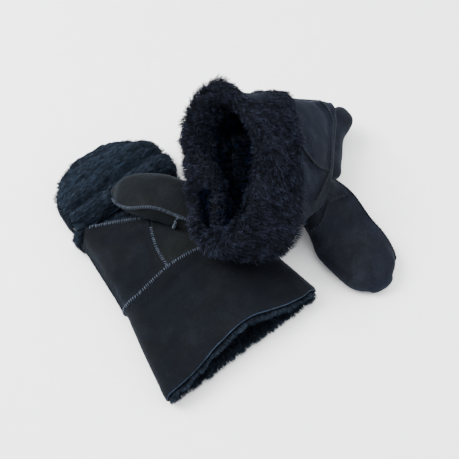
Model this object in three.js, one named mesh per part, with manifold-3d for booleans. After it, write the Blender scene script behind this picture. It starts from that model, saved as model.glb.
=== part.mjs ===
// A pair of convertible flip-top mittens in suede shearling, laid out as they rest on a table.
// The right mitten lies palm up with its cap opened out flat, wool side up.
// The left mitten rests on it, back of the hand up, with its cuff turned back and its cap closed.
// Millimetres, +Z up; the table is Z = 0 and the origin is under the middle of the pair.
import * as THREE from 'three';
import { mergeVertices } from 'three/addons/utils/BufferGeometryUtils.js';
import ManifoldModule from 'manifold-3d';

const wasm = await ManifoldModule();
wasm.setup();

// ---------- driving dimensions ----------
const ORIGIN_X = 74;              // middle of the pair, measured from the right hem's middle
const ORIGIN_Y = 114;
const SUEDE = 2.2;                // thickness of the hide
const WOOL = 6;                   // depth of the pile inside
const GAP = 0.4;                  // clearance between hide and pile
const SEAM_GAP = 0.6;             // half the slit between two panels
const RIDGE = 1.1;                // radius of an overcast seam
const EDGE = 0.10;                // share of a section's circumference on each rounded edge, top half
const CUFF_LENGTH = 87;
const PALM_LENGTH = 88;
const TURN_BACK = 58;             // how much of the left cuff is folded outwards

// ---------- lofted tubes ----------
// A station is [s, [x, y, z], across, up, half width, edge radius, top crown, low crown].
// Sections run round a padded stadium: v = 0 thumb edge, 0.25 upper middle, 0.5 far edge, 0.75 lower middle.
function spline( rows, s ) {

	const last = rows.length - 1;
	let i = 0;
	while ( i < last - 1 && s > rows[ i + 1 ].s ) i ++;
	const t = ( s - rows[ i ].s ) / ( rows[ i + 1 ].s - rows[ i ].s );
	const b = rows[ i ].values, c = rows[ i + 1 ].values;
	const a = i > 0 ? rows[ i - 1 ].values : b.map( ( x, k ) => 2 * x - c[ k ] );
	const d = i < last - 1 ? rows[ i + 2 ].values : c.map( ( x, k ) => 2 * x - b[ k ] );
	if ( t < 0 || t > 1 ) return b.map( ( x, k ) => x + ( c[ k ] - x ) * t );
	return b.map( ( x, k ) => {

		const m = ( c[ k ] - a[ k ] ) / 2, n = ( d[ k ] - x ) / 2;
		return ( ( 2 * x - 2 * c[ k ] + m + n ) * t + ( - 3 * x + 3 * c[ k ] - 2 * m - n ) ) * t * t + m * t + x;

	} );

}

function acrossOf( v ) {

	const h = v > 0.5 ? 1 - v : v;
	return THREE.MathUtils.clamp( ( 0.25 - h ) / ( 0.25 - EDGE ), - 1, 1 );

}

// Every piece of a tube is sampled at the same places round it and along it, so neighbouring layers keep their gap.
const ROUND = [ 0, 1 / 30, 2 / 30, 0.1, 0.175, 0.25, 0.325, 0.4, 13 / 30, 14 / 30, 0.5, 16 / 30, 17 / 30, 0.6, 0.7, 0.8, 0.9, 28 / 30, 29 / 30 ];
const STEP = 13;
const TIP = 5;                    // a pocket's lining stops this short of its hide
const between = ( list, low, high, margin ) => list.filter( ( x ) => x > low + margin && x < high - margin );

class Tube {

	constructor( stations ) {

		this.rows = stations.map( ( [ s, centre, across, up, half, edge, top, low ] ) =>
			( { s, values: [ ...centre, ...across, ...up, half - edge, edge, top, low ] } ) );
		this.start = stations[ 0 ][ 0 ];
		this.end = stations[ stations.length - 1 ][ 0 ];
		const count = Math.round( ( this.end - this.start ) / STEP );
		const body = this.end - TIP - this.start;
		this.marks = [ ...Array.from( { length: count }, ( _, i ) => this.start + body * i / ( count - 1 ) ), this.end ];

	}

	// The lengths from one end to the other, with the tube's own marks between them.
	stops( from, to ) {

		const ends = [ from, to ].map( ( x ) => typeof x === 'function' ? ROUND.map( x ) : [ x ] );
		const inside = between( this.marks, Math.max( ...ends[ 0 ] ), Math.min( ...ends[ 1 ] ), 1 );
		return [ from, ...inside, to ];

	}

	skin( s, v ) {

		v -= Math.floor( v );
		const [ x, y, z, ax, ay, az, ux, uy, uz, core, edge, top, low ] = spline( this.rows, s );
		const across = new THREE.Vector3( ax, ay, az ).normalize();
		const up = new THREE.Vector3( ux, uy, uz );
		up.addScaledVector( across, - up.dot( across ) ).normalize();
		const under = v > 0.5;
		const h = under ? 1 - v : v;
		const turn = h < EDGE ? h / EDGE : h > 0.5 - EDGE ? 2 - ( 0.5 - h ) / EDGE : 1;
		const m = acrossOf( v );
		const side = core * m + edge * Math.cos( turn * Math.PI / 2 );
		const lift = edge * Math.sin( turn * Math.PI / 2 ) + ( under ? low : top ) * ( 1 - m * m ) ** 2;
		return new THREE.Vector3( x, y, z ).addScaledVector( across, side ).addScaledVector( up, under ? - lift : lift );

	}

	at( s, v, offset = 0 ) {

		const e = 0.4, f = 0.004;
		const along = this.skin( s + e, v ).sub( this.skin( s - e, v ) );
		const round = this.skin( s, v + f ).sub( this.skin( s, v - f ) );
		return this.skin( s, v ).addScaledVector( along.cross( round ).normalize(), offset );

	}

}

// ---------- closed meshes ----------
const lerp = THREE.MathUtils.lerp;
const value = ( x, t ) => typeof x === 'function' ? x( t ) : x;

function closed( points, faces ) {

	let volume = 0;
	const a = new THREE.Vector3();
	for ( const [ i, j, k ] of faces ) volume += points[ i ].dot( a.copy( points[ j ] ).cross( points[ k ] ) );
	const geometry = new THREE.BufferGeometry();
	geometry.setAttribute( 'position', new THREE.Float32BufferAttribute( points.flatMap( ( p ) => p.toArray() ), 3 ) );
	geometry.setIndex( faces.flatMap( ( [ i, j, k ] ) => volume > 0 ? [ i, j, k ] : [ i, k, j ] ) );
	return geometry;

}

const quad = ( a, b, c, d ) => [ [ a, b, c ], [ a, c, d ] ];

// A panel of hide between two lengths and two places round the section.
function panel( tube, { s0, s1, v0, v1, outer = 0, inner = - SUEDE, seamAt = 0.28 } ) {

	const stops = tube.stops( s0, s1 );
	const edges = [ v0, v1 ].map( ( x ) => stops.map( ( s ) => value( x, value( s, seamAt ) ) ) );
	const round = between( ROUND, Math.max( ...edges[ 0 ] ), Math.min( ...edges[ 1 ] ), 0.004 );
	const ns = stops.length - 1, nv = round.length + 1;
	const points = [], faces = [];
	for ( const offset of [ outer, inner ] ) stops.forEach( ( s, i ) => {

		for ( const v of [ edges[ 0 ][ i ], ...round, edges[ 1 ][ i ] ] ) points.push( tube.at( value( s, v ), v, offset ) );

	} );

	const id = ( k, i, j ) => ( k * ( ns + 1 ) + i ) * ( nv + 1 ) + j;
	for ( let i = 0; i < ns; i ++ ) for ( let j = 0; j < nv; j ++ ) {

		faces.push( ...quad( id( 0, i, j ), id( 0, i + 1, j ), id( 0, i + 1, j + 1 ), id( 0, i, j + 1 ) ) );
		faces.push( ...quad( id( 1, i, j ), id( 1, i, j + 1 ), id( 1, i + 1, j + 1 ), id( 1, i + 1, j ) ) );

	}

	for ( let i = 0; i < ns; i ++ ) {

		faces.push( ...quad( id( 0, i, 0 ), id( 1, i, 0 ), id( 1, i + 1, 0 ), id( 0, i + 1, 0 ) ) );
		faces.push( ...quad( id( 0, i, nv ), id( 0, i + 1, nv ), id( 1, i + 1, nv ), id( 1, i, nv ) ) );

	}

	for ( let j = 0; j < nv; j ++ ) {

		faces.push( ...quad( id( 0, 0, j ), id( 0, 0, j + 1 ), id( 1, 0, j + 1 ), id( 1, 0, j ) ) );
		faces.push( ...quad( id( 0, ns, j ), id( 1, ns, j ), id( 1, ns, j + 1 ), id( 0, ns, j + 1 ) ) );

	}

	return closed( points, faces );

}

// A closed profile of [s, offset] pairs carried right round the section.
function sleeve( tube, profile ) {

	const points = [], faces = [];
	const nv = ROUND.length, count = profile( 0 ).length;
	for ( const v of ROUND ) for ( const [ s, offset ] of profile( v ) ) points.push( tube.at( s, v, offset ) );
	for ( let j = 0; j < nv; j ++ ) for ( let i = 0; i < count; i ++ ) {

		const a = j * count, b = ( ( j + 1 ) % nv ) * count, k = ( i + 1 ) % count;
		faces.push( ...quad( a + i, b + i, b + k, a + k ) );

	}

	return closed( points, faces );

}

// Rings of a tube at one offset, closed by a fan at the ends that are asked for.
function rings( points, faces, tube, stops, offset, flip, caps ) {

	const nv = ROUND.length, base = points.length, ns = stops.length - 1;
	for ( const s of stops ) for ( const v of ROUND ) points.push( tube.at( s, v, value( offset, v ) ) );
	const id = ( i, j ) => base + i * nv + j % nv;
	const face = ( ...f ) => faces.push( flip ? f.reverse() : f );
	for ( let i = 0; i < ns; i ++ ) for ( let j = 0; j < nv; j ++ ) {

		face( id( i, j ), id( i + 1, j ), id( i + 1, j + 1 ) );
		face( id( i, j ), id( i + 1, j + 1 ), id( i, j + 1 ) );

	}

	for ( const i of caps ) {

		const pole = points.length;
		const middle = new THREE.Vector3();
		for ( let j = 0; j < nv; j ++ ) middle.add( points[ id( i, j ) ] );
		points.push( middle.divideScalar( nv ) );
		for ( let j = 0; j < nv; j ++ ) if ( i ) face( id( i, j + 1 ), id( i, j ), pole ); else face( id( i, j ), id( i, j + 1 ), pole );

	}

	return id;

}

// A finger-shaped pocket, open at s0 and closed at s1.
function pocket( tube, s0, s1, outer, inner ) {

	const points = [], faces = [];
	const stops = tube.stops( s0, s1 ), last = stops.length - 1;
	const a = rings( points, faces, tube, stops, outer, false, [ last ] );
	const b = rings( points, faces, tube, [ ...stops.slice( 0, last ), s1 - ( outer - inner ) ], inner, true, [ last ] );
	for ( let j = 0; j < ROUND.length; j ++ ) faces.push( ...quad( a( 0, j ), a( 0, j + 1 ), b( 0, j + 1 ), b( 0, j ) ) );
	return closed( points, faces );

}

// The whole volume inside a tube.
function filled( tube, s0, s1, offset ) {

	const points = [], faces = [];
	const stops = tube.stops( s0, s1 );
	rings( points, faces, tube, stops, offset, false, [ 0, stops.length - 1 ] );
	return closed( points, faces );

}

// An overcast seam: a round ridge along a line on the skin.
function ridge( tube, line, steps = 14, lift = RIDGE + GAP + 0.3 ) {

	const points = [];
	for ( let i = 0; i <= steps; i ++ ) {

		const [ s, v ] = line( i / steps );
		points.push( tube.at( s, v, lift ) );

	}

	const section = new THREE.Shape( new THREE.EllipseCurve( 0, 0, RIDGE, RIDGE ).getPoints( 6 ).slice( 0, 6 ) );
	return new THREE.ExtrudeGeometry( section, { steps, bevelEnabled: false, extrudePath: new THREE.CatmullRomCurve3( points ) } );

}

// ---------- booleans ----------
function solid( geometry ) {

	const bare = geometry.clone().deleteAttribute( 'normal' ).deleteAttribute( 'uv' );
	const merged = mergeVertices( bare, 1e-4 );
	return new wasm.Manifold( new wasm.Mesh( {
		numProp: 3,
		vertProperties: new Float32Array( merged.getAttribute( 'position' ).array ),
		triVerts: new Uint32Array( merged.getIndex().array ),
	} ) );

}

// The largest body that a cut leaves, without the slivers beside it.
function shape( manifold ) {

	const body = manifold.decompose().reduce( ( a, b ) => b.volume() > a.volume() ? b : a );
	const { vertProperties, triVerts } = body.simplify( 0.02 ).getMesh();
	const geometry = new THREE.BufferGeometry();
	geometry.setAttribute( 'position', new THREE.Float32BufferAttribute( vertProperties, 3 ) );
	geometry.setIndex( Array.from( triVerts ) );
	return geometry;

}

const cut = ( geometry, ...tools ) => shape( tools.reduce( ( body, tool ) => body.subtract( solid( tool ) ), solid( geometry ) ) );

// ---------- the forms ----------
const X = [ 1, 0, 0 ], Y = [ 0, 1, 0 ], Z = [ 0, 0, 1 ];
const handEnd = CUFF_LENGTH + PALM_LENGTH;

const rightHand = new Tube( [
	[ 0, [ 0, 0, 12 ], X, Z, 82, 12, 14, 0 ],
	[ 43, [ 0, 43, 14 ], X, Z, 75, 14, 9, 0 ],
	[ CUFF_LENGTH, [ 0, 87, 16 ], X, Z, 67, 16, 7, 0 ],
	[ 131, [ 0, 131, 17 ], X, Z, 64, 17, 6, 0 ],
	[ handEnd, [ 0, 175, 16 ], X, Z, 61, 16, 5, 0 ],
] );

const rightThumb = new Tube( [
	[ 0, [ 46, 107, 22 ], [ 0.75, 0.66, 0 ], [ 0.5, - 0.5, 0.7 ], 22, 13, 0, 0 ],
	[ 20, [ 38, 120, 38 ], [ 0.75, 0.66, 0 ], [ 0.3, - 0.35, 0.9 ], 23, 12.5, 0, 0 ],
	[ 42, [ 22, 139, 48 ], [ 0.76, 0.65, 0 ], [ 0, 0, 1 ], 23, 13, 1, 0 ],
	[ 64, [ 6, 157, 50 ], [ 0.76, 0.65, 0 ], [ - 0.1, 0.1, 1 ], 22, 13, 1, 0 ],
	[ 84, [ - 7, 172, 48 ], [ 0.76, 0.65, 0 ], [ - 0.1, 0.1, 1 ], 16, 11, 0, 0 ],
	[ 94, [ - 13, 179, 46 ], [ 0.76, 0.65, 0 ], [ - 0.1, 0.1, 1 ], 6, 5, 0, 0 ],
] );

// The cap lies past the knuckle line, which is its hinge.
const rightCap = new Tube( [
	[ 0, [ 0, 184, 4.4 ], X, Z, 56, 4.4, 1, 0 ],
	[ 10, [ 0, 194, 11 ], X, Z, 59, 11, 3, 0 ],
	[ 22, [ 0, 206, 12 ], X, Z, 59, 12, - 1, 0 ],
	[ 38, [ - 1, 222, 13 ], X, Z, 56, 13, 4, 0 ],
	[ 54, [ - 2, 238, 12 ], X, Z, 44, 12, 3, 0 ],
	[ 66, [ - 3, 250, 10 ], X, Z, 27, 10, 1, 0 ],
	[ 72, [ - 4, 256, 7 ], X, Z, 8, 6, 0, 0 ],
] );

const leftHand = new Tube( [
	[ - 8, [ 52, 124, 91 ], [ - 0.48, - 0.86, - 0.15 ], [ 0.55, - 0.42, 0.72 ], 73, 28, 4, 0 ],
	[ 20, [ 79, 111, 83 ], [ - 0.54, - 0.82, - 0.16 ], [ 0.5, - 0.38, 0.78 ], 74, 26, 4, 0 ],
	[ 52, [ 108, 101, 71 ], [ - 0.6, - 0.78, - 0.17 ], [ 0.43, - 0.33, 0.84 ], 72, 21, 4, 0 ],
	[ 85, [ 138, 98, 57 ], [ - 0.67, - 0.73, - 0.15 ], [ 0.5, - 0.36, 0.79 ], 66, 17, 3, 0 ],
	[ 118, [ 168, 99, 42 ], [ - 0.69, - 0.72, - 0.13 ], [ 0.57, - 0.43, 0.7 ], 60, 14, 0, 0 ],
] );

const leftThumb = new Tube( [
	[ 0, [ 133, 80, 43 ], [ - 0.93, - 0.36, 0 ], [ 0, - 0.45, 0.9 ], 22, 12, 0, 0 ],
	[ 16, [ 136, 66, 35 ], [ - 0.93, - 0.36, 0 ], [ 0, - 0.5, 0.87 ], 26, 12.5, 0, 0 ],
	[ 38, [ 141, 47, 23 ], [ - 0.98, - 0.18, 0 ], [ 0, - 0.42, 0.9 ], 31, 12.5, 1, 0 ],
	[ 62, [ 140, 25, 14.3 ], [ - 1, 0, 0 ], [ 0, - 0.15, 1 ], 33, 12.5, 1, 0 ],
	[ 86, [ 138, 1, 12.8 ], [ - 1, 0.05, 0 ], Z, 31, 12.4, 1, 0 ],
	[ 108, [ 136, - 20, 12.1 ], [ - 1, 0.08, 0 ], Z, 23, 11.8, 0, 0 ],
	[ 119, [ 135, - 31, 9.3 ], [ - 1, 0.1, 0 ], Z, 9, 7, 0, 0 ],
] );

// The closed cap curls down from the knuckles and back under the hand.
const leftCap = new Tube( [
	[ 0, [ 183, 111, 39 ], [ - 0.68, - 0.72, - 0.13 ], [ 0.57, - 0.43, 0.7 ], 37, 12, 0, 0 ],
	[ 13, [ 195.5, 111.5, 31.5 ], [ - 0.66, - 0.75, - 0.1 ], [ 0.72, - 0.6, 0.45 ], 42, 10, 1, 0 ],
	[ 26, [ 199, 111.5, 20 ], [ - 0.66, - 0.75, - 0.05 ], [ 0.8, - 0.65, - 0.15 ], 42, 9, 1, 0 ],
	[ 39, [ 190, 115, 10.9 ], [ - 0.66, - 0.75, 0 ], [ 0.4, - 0.3, - 1 ], 37, 9.6, 0, 0 ],
	[ 54, [ 175, 126, 10.3 ], [ - 0.68, - 0.73, 0 ], [ 0, 0, - 1 ], 32, 10, 0, 0 ],
	[ 68, [ 163, 136, 9.9 ], [ - 0.7, - 0.71, 0 ], [ 0, 0, - 1 ], 21, 9.6, 0, 0 ],
	[ 75, [ 157, 140, 8.3 ], [ - 0.7, - 0.71, 0 ], [ 0, 0, - 1 ], 8, 7, 0, 0 ],
] );

// ---------- the pieces ----------
const root = new THREE.Group();
root.position.set( - ORIGIN_X, - ORIGIN_Y, 0 );
const suede = { color: 0x16171c, roughness: 0.95, metalness: 0 };
const wool = { color: 0x1a222c, roughness: 1, metalness: 0 };
const thread = { color: 0x8e9499, roughness: 0.8, metalness: 0 };
const darkThread = { color: 0x2b2f36, roughness: 0.8, metalness: 0 };

function add( name, geometry, look ) {

	const mesh = new THREE.Mesh( geometry, new THREE.MeshStandardMaterial( look ) );
	mesh.name = name;
	root.add( mesh );

}

const pile = - SUEDE - GAP;                    // outer face of the wool
const hollow = pile - WOOL;                    // inner face of the wool
const slit = 0.0025;                           // half a slit, as a share of the section
const bow = ( v ) => 1 - acrossOf( v ) ** 2;   // 1 in the middle of a face, 0 at its edges

// A ring of wool between two lengths.
function lining( tube, from, to, tools = [] ) {

	const stops = tube.stops( from, to );
	return cut( sleeve( tube, ( v ) => [ ...stops.map( ( s ) => [ value( s, v ), pile ] ), ...stops.map( ( s ) => [ value( s, v ), hollow ] ).reverse() ] ), ...tools );

}

function thumbPieces( side, thumb, hand, look ) {

	const body = filled( hand, hand.start, hand.end, GAP );
	const end = thumb.end;
	add( side + '_thumb_front', cut( panel( thumb, { s0: 0, s1: end, v0: slit * 2, v1: 0.5 - slit * 2 } ), body ), suede );
	add( side + '_thumb_back', cut( panel( thumb, { s0: 0, s1: end, v0: 0.5 + slit * 2, v1: 1 - slit * 2 } ), body ), suede );
	add( side + '_thumb_lining', cut( pocket( thumb, 0, end - TIP, pile, pile - 4 ), body ), wool );
	add( side + '_thumb_seam', cut( ridge( thumb, ( t ) => [ lerp( 2, end - 6, t ), 0.5 ], 14 ), body ), look );

}

// Right mitten: the palm is up, so the top of the section is its palm.
{

	const hand = rightHand, thumb = rightThumb, cap = rightCap;
	const cuffSeam = ( v ) => 82 - 3 * acrossOf( v ) + ( v <= 0.5 ? 7 * bow( v ) : 0 );
	const hem = ( v ) => v <= 0.5 ? 9 * bow( v ) ** 2 : 0;
	const opening = ( v ) => {

		if ( v > 0.5 ) return v < 0.9 ? handEnd : handEnd - 15 * ( ( v - 0.9 ) / 0.1 ) ** 2;
		if ( v < 0.2 ) return 133 + 27 * ( 1 - v / 0.2 ) ** 2;
		return 133 + ( handEnd - 133 ) * Math.sin( Math.PI / 2 * ( v - 0.2 ) / 0.3 ) ** 1.3;

	};

	const gusset = ( s ) => {

		const t = THREE.MathUtils.clamp( ( s - 88 ) / 50, 0, 1 );
		return 0.298 - 0.039 * t + 0.012 * Math.sin( Math.PI * t );

	};

	const onSeam = ( s ) => [ s, gusset( s ) ];
	const after = ( v ) => cuffSeam( v ) + SEAM_GAP, before = ( v ) => cuffSeam( v ) - SEAM_GAP;
	const hole = filled( thumb, 0, 45, pile - 4.4 );
	const thumbOuter = filled( thumb, 0, thumb.end, 2.8 );

	add( 'right_cuff_panel', panel( hand, { s0: hem, s1: before, v0: slit, v1: 1 - slit } ), suede );
	add( 'right_palm_panel', panel( hand, { s0: after, s1: opening, v0: ( s ) => gusset( s ) + slit, v1: 0.5 - slit } ), suede );
	add( 'right_thumb_gusset', cut( panel( hand, { s0: after, s1: opening, v0: slit, v1: ( s ) => gusset( s ) - slit } ), hole ), suede );
	add( 'right_back_panel', panel( hand, { s0: after, s1: opening, v0: 0.5 + slit, v1: 1 - slit } ), suede );
	add( 'right_cuff_lining', lining( hand, ( v ) => hem( v ) + 1.5, before ), wool );
	add( 'right_hand_lining', lining( hand, after, ( v ) => opening( v ) - 2, [ hole ] ), wool );
	thumbPieces( 'right', thumb, hand, thread );

	// The opened cap: hide below, wool above, and the front panel rolled round the rim of the dome.
	add( 'right_cap_back_panel', panel( cap, { s0: 0, s1: cap.end, v0: 0.54, v1: 0.96 } ), suede );
	add( 'right_cap_lining', filled( cap, 0, cap.end - 1, ( v ) => v > 0.5 ? pile : 0 ), wool );
	const rim = solid( filled( cap, 0, cap.end + 1.5, SUEDE + GAP ) )
		.subtract( solid( filled( cap, 0, cap.end, GAP ) ) )
		.trimByPlane( [ 0, 1, 0 ], 208 ).trimByPlane( [ 0, 0, 1 ], 0.5 ).trimByPlane( [ 0, 0, - 1 ], - 9 );
	add( 'right_cap_front_panel', shape( rim ), suede );

	add( 'right_cuff_seam', ridge( hand, ( t ) => [ cuffSeam( lerp( 0, 0.5, t ) ), lerp( - 0.05, 0.55, t ) ], 20 ), thread );
	add( 'right_gusset_seam', cut( ridge( hand, ( t ) => onSeam( lerp( cuffSeam( 0.298 ) + 2.6, opening( 0.259 ) - 5, t ) ), 10 ), thumbOuter ), thread );
	add( 'right_palm_edge_seam', cut( ridge( hand, ( t ) => [ opening( lerp( 0.26, 0.48, t ) ) - 2, lerp( 0.26, 0.48, t ) ], 12 ), thumbOuter ), thread );
	add( 'right_side_seam', ridge( hand, ( t ) => [ lerp( 90, 168, t ), 0.5 ], 8 ), thread );
	add( 'right_gusset_side_seam', cut( ridge( hand, ( t ) => [ lerp( 84, 158, t ), 0 ], 8 ), thumbOuter ), thread );
	add( 'right_cuff_side_seam', ridge( hand, ( t ) => [ lerp( 2, 76, t ), 0 ], 8 ), thread );
	add( 'right_knuckle_seam', new THREE.CylinderGeometry( RIDGE, RIDGE, 104, 6 ).rotateZ( Math.PI / 2 ).translate( 0, 179.5, RIDGE + 0.2 ), thread );

}

// Left mitten: the back of the hand is up, so the top of the section is its back.
{

	const hand = leftHand, thumb = leftThumb, cap = leftCap;
	const cuffSeam = CUFF_LENGTH - TURN_BACK;
	const back = ( v ) => v <= 0.5 ? hand.end - 1 : hand.end - 1 - 10 * Math.sin( Math.PI * ( v - 0.5 ) * 2 );
	const gusset = ( s ) => 0.305 - 0.045 * ( s - cuffSeam ) / ( hand.end - cuffSeam );
	const onSeam = ( s ) => [ s, gusset( s ) ];
	const hole = filled( thumb, 0, 45, pile - 4.4 );
	const thumbOuter = filled( thumb, 0, thumb.end, 2.8 );

	// The cuff folds outwards at the wrist end, so both of its layers run in, round the fold and back out.
	// On the back of the hand the fold dips towards the wrist.
	const foldAt = ( v ) => v <= 0.5 ? 4 + 12 * bow( v ) ** 2 : 4, legGap = 3;
	const bend = ( radius, s, turns ) => turns.map( ( q ) => [ s - radius * Math.sin( q * Math.PI ), legGap / 2 + radius * Math.cos( q * Math.PI ) ] );
	const layer = ( inner, outer, s0, s1, at ) => [
		[ s0, legGap / 2 - inner ], [ lerp( s0, at, 0.5 ), legGap / 2 - inner ], ...bend( inner, at, [ 1, 0.75, 0.5, 0.25, 0 ] ), [ lerp( at, s1, 0.5 ), legGap / 2 + inner ], [ s1, legGap / 2 + inner ],
		[ s1, legGap / 2 + outer ], [ lerp( at, s1, 0.5 ), legGap / 2 + outer ], ...bend( outer, at, [ 0, 0.25, 0.5, 0.75, 1 ] ), [ lerp( s0, at, 0.5 ), legGap / 2 - outer ], [ s0, legGap / 2 - outer ] ];
	const hide = legGap / 2, furStart = hide + SUEDE + GAP;
	add( 'left_cuff_panel', sleeve( hand, ( v ) => layer( hide, hide + SUEDE, cuffSeam - SEAM_GAP, TURN_BACK, foldAt( v ) ) ), suede );
	add( 'left_cuff_lining', sleeve( hand, ( v ) => layer( furStart, furStart + WOOL, cuffSeam - SEAM_GAP, TURN_BACK - 1, foldAt( v ) ) ), wool );

	const s0 = cuffSeam + SEAM_GAP;
	add( 'left_back_panel', cut( panel( hand, { s0, s1: back, v0: ( s ) => gusset( s ) + slit, v1: 0.5 - slit } ), hole ), suede );
	add( 'left_thumb_gusset', cut( panel( hand, { s0, s1: back, v0: slit, v1: ( s ) => gusset( s ) - slit } ), hole ), suede );
	add( 'left_palm_panel', cut( panel( hand, { s0, s1: back, v0: 0.5 + slit, v1: 1 - slit } ), hole ), suede );
	add( 'left_hand_lining', lining( hand, s0, ( v ) => back( v ) - 2, [ hole ] ), wool );
	thumbPieces( 'left', thumb, hand, darkThread );

	add( 'left_cap_back_panel', panel( cap, { s0: 0, s1: cap.end, v0: slit * 2, v1: 0.5 - slit * 2 } ), suede );
	add( 'left_cap_front_panel', panel( cap, { s0: 0, s1: cap.end, v0: 0.5 + slit * 2, v1: 1 - slit * 2 } ), suede );
	add( 'left_cap_lining', pocket( cap, 1, cap.end - TIP, pile, pile - 4 ), wool );

	add( 'left_gusset_seam', cut( ridge( hand, ( t ) => onSeam( lerp( TURN_BACK + 4, hand.end - 5, t ) ), 10 ), thumbOuter ), darkThread );
	add( 'left_side_seam', ridge( hand, ( t ) => [ lerp( TURN_BACK + 4, hand.end - 4, t ), 0.5 ], 8 ), darkThread );
	add( 'left_gusset_side_seam', cut( ridge( hand, ( t ) => [ lerp( TURN_BACK + 4, hand.end - 8, t ), 0 ], 8 ), thumbOuter ), darkThread );
	add( 'left_cap_seam', ridge( cap, ( t ) => [ lerp( 8, cap.end - 8, t ), 0.5 ], 12 ), darkThread );
	add( 'left_cap_thumb_side_seam', ridge( cap, ( t ) => [ lerp( 8, cap.end - 8, t ), 0 ], 12 ), darkThread );

}

export default root;
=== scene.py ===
import math
from itertools import product

import bpy
import numpy as np
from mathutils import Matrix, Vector, kdtree


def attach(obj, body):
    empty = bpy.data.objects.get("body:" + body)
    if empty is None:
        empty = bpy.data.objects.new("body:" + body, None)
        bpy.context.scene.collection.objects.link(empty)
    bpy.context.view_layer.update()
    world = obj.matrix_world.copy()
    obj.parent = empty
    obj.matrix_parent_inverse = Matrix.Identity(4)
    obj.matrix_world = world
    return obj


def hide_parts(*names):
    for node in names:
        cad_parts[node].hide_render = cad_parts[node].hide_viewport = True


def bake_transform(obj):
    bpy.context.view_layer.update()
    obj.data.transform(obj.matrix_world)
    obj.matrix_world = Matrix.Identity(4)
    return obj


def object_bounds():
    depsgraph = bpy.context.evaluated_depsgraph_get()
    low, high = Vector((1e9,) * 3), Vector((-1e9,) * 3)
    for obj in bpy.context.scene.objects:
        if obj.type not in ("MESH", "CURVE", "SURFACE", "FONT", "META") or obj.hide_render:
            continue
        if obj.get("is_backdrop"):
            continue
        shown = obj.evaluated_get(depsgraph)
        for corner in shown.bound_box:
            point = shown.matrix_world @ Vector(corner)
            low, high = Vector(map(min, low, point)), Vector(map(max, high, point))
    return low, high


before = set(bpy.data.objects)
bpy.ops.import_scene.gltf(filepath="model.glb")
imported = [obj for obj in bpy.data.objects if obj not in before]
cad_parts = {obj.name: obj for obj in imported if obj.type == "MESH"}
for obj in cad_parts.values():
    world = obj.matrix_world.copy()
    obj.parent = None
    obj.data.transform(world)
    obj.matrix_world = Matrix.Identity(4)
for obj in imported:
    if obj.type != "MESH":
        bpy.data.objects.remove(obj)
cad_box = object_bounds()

# A pair of flip-top shearling mittens. Lengths are in millimetres from the middle of the right mitten's hem
# until metres() turns them into metres from the CAD model's origin.
ORIGIN = np.array([74.0, 114.0, 0.0])
SUEDE, WOOL, GAP = 2.2, 6.0, 0.4  # hide, pile and the space between them
EDGE = 0.10  # the share of a section's v that each rounded edge takes
CUFF_LENGTH, TURN_BACK = 87.0, 58.0
SEAM_GAP = 0.3  # from a cross seam's middle to the hide's edge
WOOL_FLOOR = 0.25  # strands stay above this height
X, Z = (1, 0, 0), (0, 0, 1)


def metres(points):
    return (np.asarray(points, float) - ORIGIN) * 0.001


def lattice(a, b):
    return np.meshgrid(a, b, indexing="ij")


def around(count):
    return np.arange(count) / count


def unit(v):
    return v / np.maximum(np.linalg.norm(v, axis=-1, keepdims=True), 1e-9)


def smooth(x, low, high):
    t = np.clip((x - low) / (high - low), 0, 1)
    return t * t * (3 - 2 * t)


# ---------- noise ----------
_rng = np.random.RandomState(5)
PERM = np.tile(_rng.permutation(256), 2)
GRAD = unit(_rng.normal(size=(256, 3)))


def perlin(p):
    p = np.asarray(p, float)
    cell = np.floor(p).astype(int)
    f = p - cell
    cell &= 255
    u = f * f * f * (f * (f * 6 - 15) + 10)
    total = 0
    for corner in product((0, 1), repeat=3):
        c = (cell + corner) & 255
        g = GRAD[PERM[PERM[PERM[c[..., 0]] + c[..., 1]] + c[..., 2]]]
        w = np.prod(np.where(corner, u, 1 - u), axis=-1)
        total = total + w * np.sum(g * (f - corner), axis=-1)
    return total * 1.6


def swirl(p, seed=0.0):
    return np.stack([perlin(p + seed + k * 31.7) for k in range(3)], axis=-1)


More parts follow.
